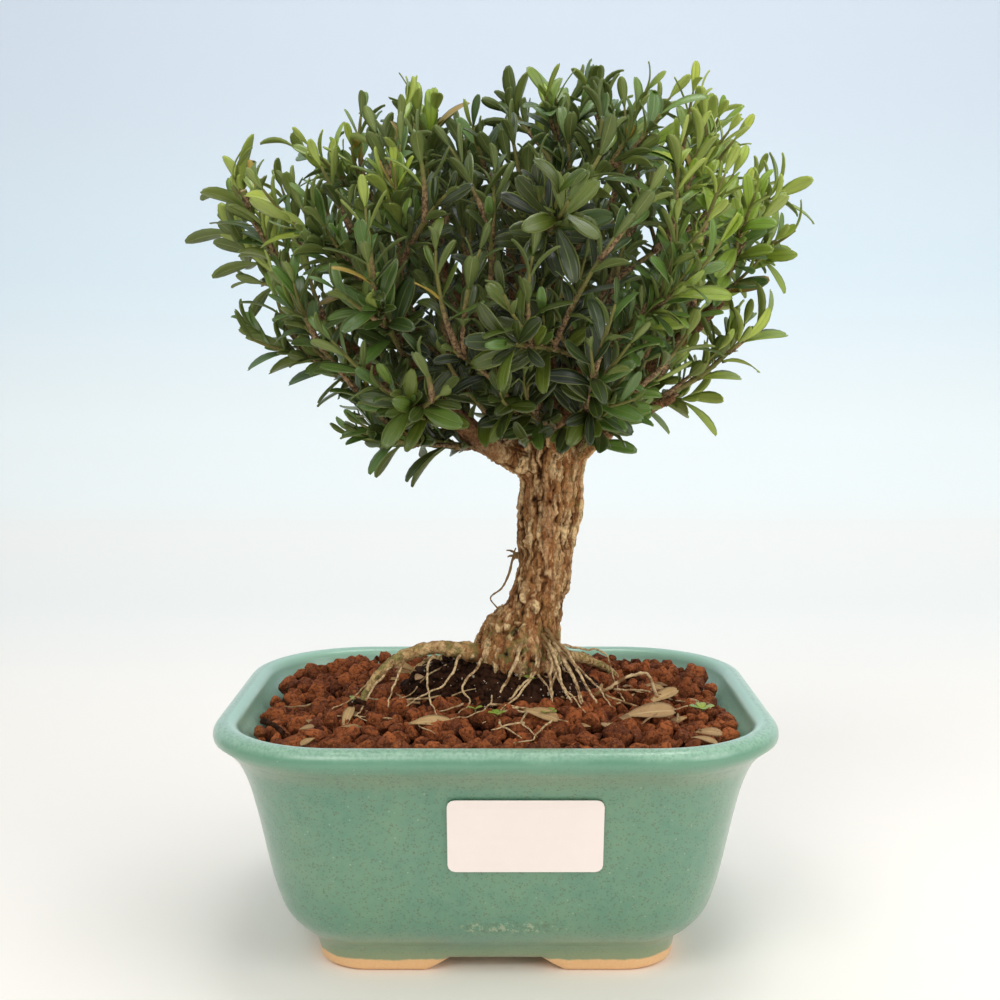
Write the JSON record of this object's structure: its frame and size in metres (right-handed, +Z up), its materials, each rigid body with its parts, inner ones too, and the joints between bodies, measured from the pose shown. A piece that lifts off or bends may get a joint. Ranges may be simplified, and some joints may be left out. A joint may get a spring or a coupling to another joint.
{
  "type": "potted bonsai tree",
  "caption": "Harland boxwood bonsai with a corky trunk, spreading surface roots and small glossy leaves, in a rounded rectangular glazed pot filled with clay granules.",
  "frame": {"origin": "under the middle of the object's outer box, on the surface that the pot stands on", "axes": "+Z up, +Y from the front with the label to the back, +X to the right seen from the front"},
  "size_m": [0.1798, 0.1434, 0.2458],
  "materials": {
    "glaze": "satin",
    "paper": "matte",
    "granules": "matte",
    "dark_soil": "matte",
    "bark": "rough",
    "leaf": "gloss",
    "dry_leaf": "matte"
  },
  "bodies": {
    "root": {"pot": "glaze", "label": "paper", "granules": "granules", "root_ball": "dark_soil", "tree": "bark", "shoot_01": "leaf", "shoot_02": "leaf", "shoot_03": "leaf", "shoot_04": "leaf", "shoot_05": "leaf", "shoot_06": "leaf", "shoot_07": "leaf", "shoot_08": "leaf", "shoot_09": "leaf", "shoot_10": "leaf", "shoot_11": "leaf", "shoot_12": "leaf", "shoot_13": "leaf", "shoot_14": "leaf", "shoot_15": "leaf", "shoot_16": "leaf", "shoot_17": "leaf", "shoot_18": "leaf", "shoot_19": "leaf", "shoot_20": "leaf", "shoot_21": "leaf", "shoot_22": "leaf", "shoot_23": "leaf", "shoot_24": "leaf", "shoot_25": "leaf", "shoot_26": "leaf", "shoot_27": "leaf", "shoot_28": "leaf", "shoot_29": "leaf", "shoot_30": "leaf", "shoot_31": "leaf", "shoot_32": "leaf", "shoot_33": "leaf", "shoot_34": "leaf", "shoot_35": "leaf", "shoot_36": "leaf", "shoot_37": "leaf", "shoot_38": "leaf", "shoot_39": "leaf", "shoot_40": "leaf", "fallen_leaf_1": "dry_leaf", "fallen_leaf_2": "dry_leaf", "fallen_leaf_3": "dry_leaf", "fallen_leaf_4": "dry_leaf", "fallen_leaf_5": "dry_leaf", "fallen_leaf_6": "dry_leaf", "fallen_leaf_7": "dry_leaf"}
  },
  "joints": []
}
